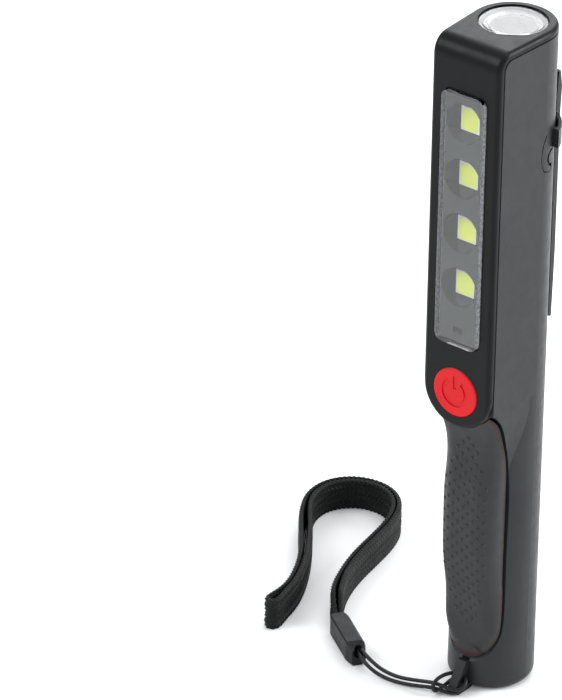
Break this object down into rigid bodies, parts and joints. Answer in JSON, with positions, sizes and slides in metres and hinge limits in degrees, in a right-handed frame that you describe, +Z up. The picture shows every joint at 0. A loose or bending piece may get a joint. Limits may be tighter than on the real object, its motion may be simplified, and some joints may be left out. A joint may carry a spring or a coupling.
{
  "type": "work light",
  "caption": "Pen-shaped battery work light with an area window, a top spot, a power button, a rear clip, a battery door grip and a wrist strap on a thin cord.",
  "frame": {"origin": "centre of the round base that the light stands on", "axes": "+Z up the tube to the spot lens, -Y out of the front window, +X to the light's own side"},
  "size_m": [0.1075, 0.0767, 0.2087],
  "materials": {
    "housing_grey": "satin",
    "bezel_black": "satin",
    "clear_lens": "clear polished",
    "seal_black": "matte",
    "seal_white": "satin",
    "spot_emitter": "satin",
    "reflector_grey": "satin",
    "board_white": "solder mask",
    "board_green": "solder mask",
    "led_package": "matte",
    "phosphor": "satin",
    "button_red": "satin",
    "switch_black": "matte",
    "ferrite": "matte",
    "reflector_chrome": "polished",
    "steel": "plated",
    "nickel": "plated",
    "cell_wrap": "satin",
    "wire_red": "satin",
    "wire_black": "satin",
    "door_black": "satin",
    "seal_red": "satin",
    "grip_rubber": "satin",
    "clip_grey": "satin",
    "slider_grey": "satin",
    "webbing_black": "woven",
    "cord_black": "braided"
  },
  "bodies": {
    "body": {"area_led_1": "led_package", "area_led_2": "led_package", "area_led_3": "led_package", "area_led_4": "led_package", "area_led_phosphor_1": "phosphor", "area_led_phosphor_2": "phosphor", "area_led_phosphor_3": "phosphor", "area_led_phosphor_4": "phosphor", "battery_cell_1": "cell_wrap", "battery_cell_2": "cell_wrap", "battery_cell_3": "cell_wrap", "battery_cradle": "switch_black", "battery_spring_1": "steel", "battery_spring_2": "steel", "battery_spring_3": "steel", "board_screws": "steel", "clip_spring": "steel", "contact_plates_high": "nickel", "contact_plates_low": "nickel", "driver_board": "board_green", "driver_chip": "switch_black", "driver_inductor": "ferrite", "front_bezel": "bezel_black", "indicator_led": "led_package", "lanyard_cord": "cord_black", "lead_wire_black": "wire_black", "lead_wire_red": "wire_red", "led_board": "board_white", "main_housing": "housing_grey", "reflector_plate": "reflector_grey", "spot_board": "board_white", "spot_led": "spot_emitter", "spot_lens": "clear_lens", "spot_reflector": "reflector_chrome", "spot_seal": "seal_white", "strap_lug": "door_black", "strap_slider": "slider_grey", "switch_body": "switch_black", "window_lens": "clear_lens", "window_seal": "seal_black", "wrist_strap": "webbing_black"},
    "door": {"battery_door": "door_black", "door_seal": "seal_red", "grip_pad": "grip_rubber"},
    "clip": {"clip_lever": "clip_grey", "clip_magnet": "nickel", "magnet_cap": "door_black"},
    "button": {"power_button": "button_red"},
    "plunger": {"switch_plunger": "switch_black"}
  },
  "joints": [
    {"name": "button_press", "type": "slide", "parent": "body", "child": "button", "axis": [0, 1, 0], "range_m": [0, 0.0004], "stiffness_N_per_m": 2500, "springref_m": -0.0004},
    {"name": "plunger_travel", "type": "slide", "parent": "body", "child": "plunger", "axis": [0, 1, 0], "range_m": [0, 0.0004]},
    {"name": "clip_pivot", "type": "hinge", "parent": "body", "child": "clip", "pos_m": [0, 0.0037, 0.1694], "axis": [1, 0, 0], "range_deg": [0, 3.5], "stiffness_Nm_per_rad": 0.6, "springref_deg": -5.73, "deforming": ["clip_spring"]},
    {"name": "door_release", "type": "slide", "parent": "body", "child": "door", "axis": [0, -1, 0], "range_m": [0, 0.02]}
  ],
  "couplings": [
    {"joint": "plunger_travel", "follows": "button_press", "ratio": 1}
  ]
}
